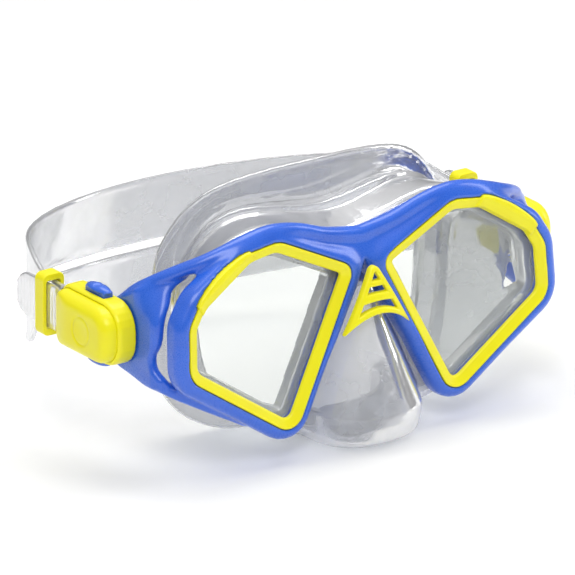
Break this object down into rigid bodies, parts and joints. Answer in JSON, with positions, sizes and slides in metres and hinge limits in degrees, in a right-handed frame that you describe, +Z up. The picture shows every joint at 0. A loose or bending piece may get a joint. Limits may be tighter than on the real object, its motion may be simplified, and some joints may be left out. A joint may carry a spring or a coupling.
{
  "type": "snorkel mask",
  "caption": "Two-lens snorkel mask: blue frame, yellow bezels and nose grille, clear silicone skirt and split strap on swivelling push-button ratchet buckles.",
  "frame": {"origin": "under the middle of the whole mask's bounding box, on the surface it rests on", "axes": "+X towards the wearer's left, +Y from the lenses towards the back of the head, +Z up"},
  "size_m": [0.198, 0.1606, 0.0983],
  "materials": {
    "blue_frame": "satin",
    "blue_button": "satin",
    "yellow_trim": "satin",
    "lens_glass": "polished",
    "clear_silicone": "clear, soft gloss",
    "steel": "satin",
    "inner_plastic": "matte"
  },
  "bodies": {
    "frame": {"frame": "blue_frame", "skirt": "clear_silicone", "nose_grille": "yellow_trim", "lens_left": "lens_glass", "lens_right": "lens_glass", "bezel_left": "yellow_trim", "bezel_right": "yellow_trim"},
    "buckle_left": {"buckle_base_left": "yellow_trim", "buckle_cover_left": "yellow_trim", "pivot_pin_left": "steel", "pivot_clip_left": "steel", "roller_pin_left": "steel", "pawl_pin_left": "steel", "button_spring_top_left": "steel", "button_spring_bottom_left": "steel", "strap": "clear_silicone"},
    "roller_left": {"strap_roller_left": "inner_plastic"},
    "pawl_left": {"pawl_left": "inner_plastic"},
    "keeper_left": {"strap_keeper_left": "yellow_trim"},
    "button_top_left": {"release_button_top_left": "blue_button"},
    "button_bottom_left": {"release_button_bottom_left": "blue_button"},
    "buckle_right": {"buckle_base_right": "yellow_trim", "buckle_cover_right": "yellow_trim", "pivot_pin_right": "steel", "pivot_clip_right": "steel", "roller_pin_right": "steel", "pawl_pin_right": "steel", "button_spring_top_right": "steel", "button_spring_bottom_right": "steel"},
    "roller_right": {"strap_roller_right": "inner_plastic"},
    "pawl_right": {"pawl_right": "inner_plastic"},
    "keeper_right": {"strap_keeper_right": "yellow_trim"},
    "button_top_right": {"release_button_top_right": "blue_button"},
    "button_bottom_right": {"release_button_bottom_right": "blue_button"}
  },
  "joints": [
    {"name": "swivel_left", "type": "hinge", "parent": "frame", "child": "buckle_left", "pos_m": [0.084, -0.0342, 0.0515], "axis": [1, 0, 0], "range_deg": [-30, 30]},
    {"name": "roller_spin_left", "type": "hinge", "parent": "buckle_left", "child": "roller_left", "pos_m": [0.09265, -0.0352, 0.0515], "axis": [0, 0, 1], "continuous": true},
    {"name": "button_top_press_left", "type": "slide", "parent": "buckle_left", "child": "button_top_left", "axis": [0, 0, -1], "range_m": [0, 0.001], "stiffness_N_per_m": 600, "springref_m": -0.0005, "deforming": ["button_spring_top_left"]},
    {"name": "button_bottom_press_left", "type": "slide", "parent": "buckle_left", "child": "button_bottom_left", "axis": [0, 0, 1], "range_m": [0, 0.001], "stiffness_N_per_m": 600, "springref_m": -0.0005, "deforming": ["button_spring_bottom_left"]},
    {"name": "pawl_lift_left", "type": "hinge", "parent": "buckle_left", "child": "pawl_left", "pos_m": [0.0882, -0.0162, 0.0515], "axis": [0, 0, -1], "range_deg": [0, 4.2]},
    {"name": "keeper_slide_left", "type": "slide", "parent": "buckle_left", "child": "keeper_left", "axis": [0, 1, 0], "range_m": [-0.003, 0.002]},
    {"name": "swivel_right", "type": "hinge", "parent": "frame", "child": "buckle_right", "pos_m": [-0.084, -0.0342, 0.0515], "axis": [1, 0, 0], "range_deg": [-30, 30]},
    {"name": "roller_spin_right", "type": "hinge", "parent": "buckle_right", "child": "roller_right", "pos_m": [-0.09265, -0.0352, 0.0515], "axis": [0, 0, 1], "continuous": true},
    {"name": "button_top_press_right", "type": "slide", "parent": "buckle_right", "child": "button_top_right", "axis": [0, 0, -1], "range_m": [0, 0.001], "stiffness_N_per_m": 600, "springref_m": -0.0005, "deforming": ["button_spring_top_right"]},
    {"name": "button_bottom_press_right", "type": "slide", "parent": "buckle_right", "child": "button_bottom_right", "axis": [0, 0, 1], "range_m": [0, 0.001], "stiffness_N_per_m": 600, "springref_m": -0.0005, "deforming": ["button_spring_bottom_right"]},
    {"name": "pawl_lift_right", "type": "hinge", "parent": "buckle_right", "child": "pawl_right", "pos_m": [-0.0882, -0.0162, 0.0515], "axis": [0, 0, 1], "range_deg": [0, 4.2]},
    {"name": "keeper_slide_right", "type": "slide", "parent": "buckle_right", "child": "keeper_right", "axis": [0, 1, 0], "range_m": [-0.003, 0.002]}
  ],
  "couplings": [
    {"joint": "button_bottom_press_left", "follows": "button_top_press_left", "ratio": 1},
    {"joint": "pawl_lift_left", "follows": "button_top_press_left", "rad_per_m": 69.813},
    {"joint": "button_bottom_press_right", "follows": "button_top_press_right", "ratio": 1},
    {"joint": "pawl_lift_right", "follows": "button_top_press_right", "rad_per_m": 69.813},
    {"joint": "swivel_right", "follows": "swivel_left", "ratio": 1}
  ]
}
